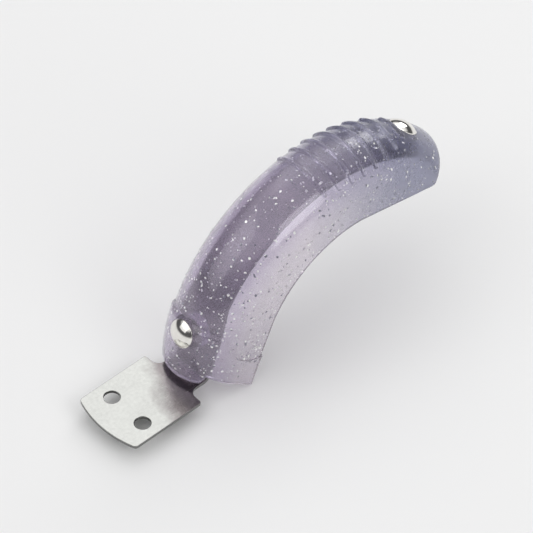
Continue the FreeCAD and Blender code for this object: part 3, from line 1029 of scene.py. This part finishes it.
def plastic_material(size):
    """Tinted translucent plastic: mostly clear, darkened over the crown by painted shade and cooler towards the tail.
    """
    material, tree, shader, vector = new_material("smoky_plastic")
    cloud = noise_of(tree, vector, 42.0, 3, -1100, 500, 0.55)
    fine = noise_of(tree, vector, 260.0, 4, -1100, 260, 0.6)
    skin = noise_of(tree, vector, 900.0, 3, -1100, -300, 0.6)
    scuff = stretched(tree, vector, (900, 160, 900), (0.3, 0.2, 0.5), -1300, -520)
    scuff = noise_of(tree, scuff, 1.0, 2, -1100, -520)

    # Height over the bend's axis and distance towards the tail, both loosened by the clouds.
    from_axis = add_node(tree, "ShaderNodeMapping", -1100, 0)
    from_axis.inputs["Location"].default_value = (-ARC_X * MM, 0, -ARC_Z * MM)
    tree.links.new(vector, from_axis.inputs["Vector"])
    flat = add_node(tree, "ShaderNodeVectorMath", -900, 0, operation="MULTIPLY")
    flat.inputs[1].default_value = (1, 0, 1)
    tree.links.new(from_axis.outputs["Vector"], flat.inputs[0])
    radius = add_node(tree, "ShaderNodeVectorMath", -720, 0, operation="LENGTH")
    tree.links.new(flat.outputs["Vector"], radius.inputs[0])
    split = add_node(tree, "ShaderNodeSeparateXYZ", -900, -160)
    tree.links.new(from_axis.outputs["Vector"], split.inputs["Vector"])
    swirl = math_node(tree, "MULTIPLY", -900, 420, math_node(tree, "SUBTRACT", -1000, 420, cloud, 0.5), 0.45)
    # Painted shade: darker over the crown, high above the bend's axis, where the top takes less light than the
    # skirts.
    crown = map_range(tree, radius.outputs["Value"], 0.058, 0.069, 0.0, 1.0, -540, 0)
    crown = math_node(tree, "ADD", -360, 60, crown, swirl, clamp=True)
    tail = map_range(tree, split.outputs["X"], -0.022, 0.030, 0.0, 1.0, -540, -200)
    tail = math_node(tree, "ADD", -360, -160, tail, swirl, clamp=True)
    tint = add_node(tree, "ShaderNodeMix", -160, 200, data_type="RGBA")
    tint.inputs["A"].default_value = (*size.skirt_tint, 1)
    tint.inputs["B"].default_value = (*size.crown_shade_tint, 1)
    tree.links.new(crown, tint.inputs["Factor"])
    cooled = add_node(tree, "ShaderNodeMix", 60, 200, data_type="RGBA")
    cooled.inputs["B"].default_value = (*size.tail_tint, 1)
    tree.links.new(tail, cooled.inputs["Factor"])
    tree.links.new(tint.outputs["Result"], cooled.inputs["A"])
    speckle = map_range(tree, fine, 0.3, 0.7, 0.95, 1.05, -160, 420)
    toned = add_node(tree, "ShaderNodeVectorMath", 280, 200, operation="SCALE")
    tree.links.new(cooled.outputs["Result"], toned.inputs[0])
    tree.links.new(speckle, toned.inputs["Scale"])
    tree.links.new(toned.outputs["Vector"], shader.inputs["Base Color"])

    rough = map_range(tree, fine, 0.3, 0.7, 0.10, 0.17, -380, -420)
    frost = math_node(tree, "MULTIPLY", -240, -540, tail, 0.15)
    rough = math_node(tree, "ADD", -160, -420, rough, frost)
    marks = map_range(tree, scuff, 0.66, 0.74, 0.0, 0.12, -380, -620)
    rough = math_node(tree, "ADD", -100, -460, rough, marks)
    tree.links.new(rough, shader.inputs["Roughness"])
    bump = add_node(tree, "ShaderNodeBump", 300, -300)
    bump.inputs["Strength"].default_value = 0.5
    bump.inputs["Distance"].default_value = 0.00003
    height = math_node(tree, "ADD", -100, -260, skin, math_node(tree, "MULTIPLY", -240, -300, cloud, 2.0))
    tree.links.new(height, bump.inputs["Height"])
    tree.links.new(bump.outputs["Normal"], shader.inputs["Normal"])
    shader.inputs["IOR"].default_value = 1.45
    shader.inputs["Metallic"].default_value = 0.0
    shader.inputs["Transmission Weight"].default_value = 0.84
    shader.inputs["Coat Weight"].default_value = 0.55
    shader.inputs["Coat Roughness"].default_value = 0.05
    clear = add_node(tree, "ShaderNodeBsdfTransparent", 700, -420)
    clear.inputs["Color"].default_value = (0.80, 0.77, 0.82, 1)
    rays = add_node(tree, "ShaderNodeLightPath", 700, 400)
    blend_shader = add_node(tree, "ShaderNodeMixShader", 1000, 0)
    tree.links.new(rays.outputs["Is Shadow Ray"], blend_shader.inputs["Fac"])
    tree.links.new(shader.outputs["BSDF"], blend_shader.inputs[1])
    tree.links.new(clear.outputs["BSDF"], blend_shader.inputs[2])
    tree.links.new(blend_shader.outputs["Shader"], tree.nodes["Material Output"].inputs["Surface"])
    return material


def glitter_material():
    """Silvered flakes, each a little different in tone."""
    material, tree, shader, vector = new_material("silver_glitter")
    tone = noise_of(tree, vector, 600.0, 0, -500, 100)
    ramp = add_node(tree, "ShaderNodeValToRGB", -250, 100)
    ramp.color_ramp.elements[0].position = 0.40
    ramp.color_ramp.elements[0].color = (0.20, 0.20, 0.25, 1)
    ramp.color_ramp.elements[1].position = 0.47
    ramp.color_ramp.elements[1].color = (1.0, 1.0, 0.99, 1)
    tree.links.new(tone, ramp.inputs["Fac"])
    tree.links.new(ramp.outputs["Color"], shader.inputs["Base Color"])
    tree.links.new(map_range(tree, tone, 0.3, 0.7, 0.3, 0.18, -250, -150), shader.inputs["Roughness"])
    shader.inputs["Metallic"].default_value = 0.30
    return material


# --- Operators ---
class FENDER_OT_cover(bpy.types.Operator):
    """Build the translucent cover with its ribs, collar, rivet seats and glitter"""
    bl_idname = "fender.cover"
    bl_label = "Fender Cover"

    def execute(self, context):
        size = context.scene.fender_cover
        rivet = context.scene.fender_rivets
        form = CoverForm(size)
        piece = object_from(make_cover_shell(form, size.rim_rounding / MM), "fender_cover_shell", 1.0)
        front, rear = rivet.front_seat / MM, rivet.rear_seat / MM
        posts, pad, seats, holes = bmesh.new(), bmesh.new(), bmesh.new(), bmesh.new()
        add_drum(pad, 6.0, rear - 0.4, front + 0.001, FRONT_RIVET_ANGLE)
        for angle, seat in ((FRONT_RIVET_ANGLE, front), (REAR_RIVET_ANGLE, rear)):
            add_drum(posts, 6.5, STRIP_TOP_R + 0.02, rear - 0.6, angle)
            add_drum(seats, rivet.head_radius / MM + 0.25, seat, form.crown + 5, angle)
            add_drum(holes, SHANK_R, STRIP_TOP_R - 4, form.crown + 6, angle)
        combine(piece, object_from(posts, "post_tool", 1.0), "UNION")
        combine(piece, object_from(pad, "pad_tool", 1.0), "UNION")
        combine(piece, object_from(seats, "seat_tool", 1.0), "DIFFERENCE")
        combine(piece, object_from(holes, "hole_tool", 1.0), "DIFFERENCE")

        mesh = piece.data
        mesh.polygons.foreach_set("use_smooth", [True] * len(mesh.polygons))
        mesh.set_sharp_from_angle(angle=math.radians(42))
        bm = bmesh.new()
        bm.from_mesh(mesh)
        flakes = make_flakes(form, size.flake_count, size.flake_radius / MM)
        loose = bpy.data.meshes.new("flakes")
        flakes.to_mesh(loose)
        flakes.free()
        bm.from_mesh(loose)
        bmesh.ops.scale(bm, vec=(MM,) * 3, verts=bm.verts)
        bm.to_mesh(mesh)
        bm.free()
        bpy.data.meshes.remove(loose)
        piece.data.materials.append(plastic_material(size))
        piece.data.materials.append(glitter_material())
        finish_piece(piece, "fender", "cover_plastic", "fender_cover")
        return {"FINISHED"}


class FENDER_OT_strip(bpy.types.Operator):
    """Build the steel stamping: plate, neck and strip in one"""
    bl_idname = "fender.strip"
    bl_label = "Spring Steel Strip"

    def execute(self, context):
        size = context.scene.fender_steel
        form = StripForm(size.thickness / MM)
        bm = make_strip(
            form, size.edge_rounding / MM, size.hole_diameter / MM / 2, size.hole_spacing / MM)
        piece = object_from(bm, "spring_steel_strip")
        shade(piece)
        # The steel's colour carries a painted dark reflection near the neck.
        piece.data.materials.append(
            metal_material("satin_spring_steel", size.colour, 0.20, 0.10, 0.5, 0.5, 0.000005, with_neck_reflection=True))
        # Side faces: rougher sheared finish, with a painted dark reflection in their dark colour.
        piece.data.materials.append(
            metal_material("sheared_edge_painted_dark", (0.24, 0.24, 0.235), 0.36, 0.10, 0.9, 0.8, 0.000008))
        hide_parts("mounting_plate", "flex_neck", "brake_strip")
        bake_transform(piece)
        return {"FINISHED"}


class FENDER_OT_rivets(bpy.types.Operator):
    """Build the two domed rivets and their washers"""
    bl_idname = "fender.rivets"
    bl_label = "Rivets and Washers"

    def execute(self, context):
        size = context.scene.fender_rivets
        thickness = context.scene.fender_steel.thickness / MM
        polish = metal_material("polished_nickel", size.colour, 0.07, 0.05, 0.12, 0.6, 0.000003)
        plain = metal_material("zinc_plate", (0.66, 0.67, 0.68), 0.34, 0.12, 0.4, 0.6, 0.000006)
        ends = (("front", FRONT_RIVET_ANGLE, size.front_seat), ("rear", REAR_RIVET_ANGLE, size.rear_seat))
        for end, angle, seat in ends:
            bm = lathe(rivet_profile(size, seat / MM, thickness))
            bmesh.ops.transform(bm, matrix=at_station(angle), verts=bm.verts)
            rivet = object_from(bm, f"{end}_rivet_domed")
            shade(rivet)
            rivet.data.materials.append(polish)
            finish_piece(rivet, "fender", "rivet_metal", f"{end}_rivet")
            bm = lathe(washer_profile(thickness), 72)
            bmesh.ops.transform(bm, matrix=at_station(angle), verts=bm.verts)
            washer = object_from(bm, f"{end}_washer_ring")
            shade(washer)
            washer.data.materials.append(plain)
            finish_piece(washer, "fender", "rivet_metal", f"{end}_rivet_washer")
        return {"FINISHED"}


class FENDER_OT_stage(bpy.types.Operator):
    """Build the floor, the lights and the camera"""
    bl_idname = "fender.stage"
    bl_label = "Stage"

    def execute(self, context):
        size = context.scene.fender_stage
        scene = context.scene
        bm = bmesh.new()
        bmesh.ops.create_grid(bm, x_segments=1, y_segments=1, size=6.0)
        bmesh.ops.translate(bm, verts=bm.verts, vec=(0, 0, CAD_BOX[0].z - 0.0002))
        floor = object_from(bm, "floor", 1.0)
        material, tree, shader, vector = new_material("plain_floor")
        mottle = noise_of(tree, vector, 3.0, 2, -400, 0)
        ramp = add_node(tree, "ShaderNodeValToRGB", -150, 0)
        for element, share in zip(ramp.color_ramp.elements, (0.99, 1.01)):
            element.color = (*[channel * share for channel in size.floor_colour], 1)
        tree.links.new(mottle, ramp.inputs["Fac"])
        tree.links.new(ramp.outputs["Color"], shader.inputs["Base Color"])
        shader.inputs["Roughness"].default_value = 0.9
        shader.inputs["Specular IOR Level"].default_value = 0.1
        floor.data.materials.append(material)

        world = bpy.data.worlds.new("studio")
        world.use_nodes = True
        scene.world = world
        tree = world.node_tree
        back = tree.nodes["Background"]
        place = add_node(tree, "ShaderNodeTexCoord", -900, 0)
        split = add_node(tree, "ShaderNodeSeparateXYZ", -700, 0)
        ramp = add_node(tree, "ShaderNodeValToRGB", -450, 0)
        ramp.color_ramp.elements[0].position = 0.0
        ramp.color_ramp.elements[0].color = (0.75, 0.75, 0.75, 1)
        ramp.color_ramp.elements[1].position = 0.66
        ramp.color_ramp.elements[1].color = (1, 1, 1, 1)
        for height in (0.12, 0.44):
            dark = ramp.color_ramp.elements.new(height)
            dark.color = (0.10, 0.10, 0.105, 1)
        tree.links.new(place.outputs["Generated"], split.inputs["Vector"])
        tree.links.new(split.outputs["Z"], ramp.inputs["Fac"])
        tree.links.new(ramp.outputs["Color"], back.inputs["Color"])
        back.inputs["Strength"].default_value = size.surround

        middle = Vector((0.0707, 0, 0.029))
        lamps = [
            ("key", (0.80, 0.80, 1.20), 1.5, size.key_power),
            ("front", (-1.0, 0.35, 1.0), 1.2, size.fill_power * 1.1),
            ("fill", (0.15, -1.1, 0.75), 0.7, size.fill_power),
            ("rim", (1.1, 0.35, 0.65), 0.5, size.fill_power * 0.7),
        ]
        for name, where, width, power in lamps:
            data = bpy.data.lights.new(name, "AREA")
            data.shape = "SQUARE"
            data.size = width
            data.energy = power
            lamp = bpy.data.objects.new(name, data)
            lamp.location = where
            lamp.rotation_euler = (middle - Vector(where)).to_track_quat("-Z", "Y").to_euler()
            scene.collection.objects.link(lamp)

        data = bpy.data.cameras.new("camera")
        data.lens = size.lens
        data.sensor_width = 36
        data.clip_start, data.clip_end = 0.05, 20
        camera = bpy.data.objects.new("camera", data)
        up = VIEW_BACK.cross(VIEW_RIGHT).normalized()
        turn = Matrix((up.cross(VIEW_BACK), up, VIEW_BACK)).transposed().to_4x4()
        camera.matrix_world = Matrix.Translation(VIEW_TARGET + VIEW_BACK * VIEW_DISTANCE) @ turn
        scene.collection.objects.link(camera)
        scene.camera = camera
        scene.view_settings.view_transform = "Standard"
        return {"FINISHED"}


class FENDER_PT_panel(bpy.types.Panel):
    """Lists the fender brake's pieces"""
    bl_idname = "FENDER_PT_panel"
    bl_label = "Fender Brake"
    bl_space_type = "VIEW_3D"
    bl_region_type = "UI"
    bl_category = "Fender Brake"

    def draw(self, context):
        layout = self.layout
        for settings, operator in (
                ("fender_cover", "fender.cover"), ("fender_steel", "fender.strip"),
                ("fender_rivets", "fender.rivets"), ("fender_stage", "fender.stage")):
            box = layout.box()
            box.operator(operator)
            group = getattr(context.scene, settings)
            for name in group.bl_rna.properties.keys():
                if name not in {"rna_type", "name"}:
                    box.prop(group, name)


SETTINGS = {
    "fender_cover": CoverSettings,
    "fender_steel": SteelSettings,
    "fender_rivets": RivetSettings,
    "fender_stage": StageSettings,
}
CLASSES = (
    *SETTINGS.values(), FENDER_OT_cover, FENDER_OT_strip, FENDER_OT_rivets, FENDER_OT_stage,
    FENDER_PT_panel,
)


def register():
    for item in CLASSES:
        bpy.utils.register_class(item)
    for name, item in SETTINGS.items():
        setattr(bpy.types.Scene, name, bpy.props.PointerProperty(type=item))


def unregister():
    for name in SETTINGS:
        delattr(bpy.types.Scene, name)
    for item in reversed(CLASSES):
        bpy.utils.unregister_class(item)


def main():
    register()
    bpy.ops.fender.cover()
    bpy.ops.fender.strip()
    bpy.ops.fender.rivets()
    bpy.ops.fender.stage()


if __name__ == "__main__":
    main()
